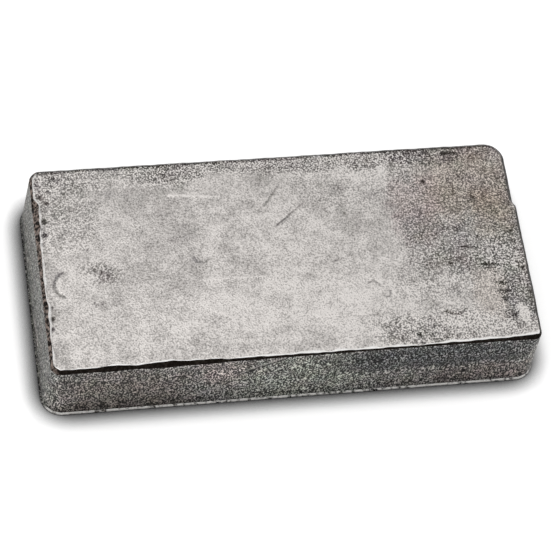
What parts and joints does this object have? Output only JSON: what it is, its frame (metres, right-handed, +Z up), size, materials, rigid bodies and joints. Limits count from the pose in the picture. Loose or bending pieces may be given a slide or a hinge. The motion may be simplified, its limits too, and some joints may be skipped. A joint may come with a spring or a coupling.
{
  "type": "silver bar",
  "caption": "Cast silver bar: a flat rectangular ingot with sides that lean in, rounded upright corners, one flat corner and a narrow bevel round its top face.",
  "frame": {"origin": "middle of the base, which is the wide face that the bar lies on", "axes": "+X along the length, +Y across the width towards the back, +Z up out of the narrower top face"},
  "size_m": [0.16, 0.077, 0.0252],
  "materials": {
    "cast_silver": "satin"
  },
  "bodies": {
    "root": {"bar": "cast_silver"}
  },
  "joints": []
}
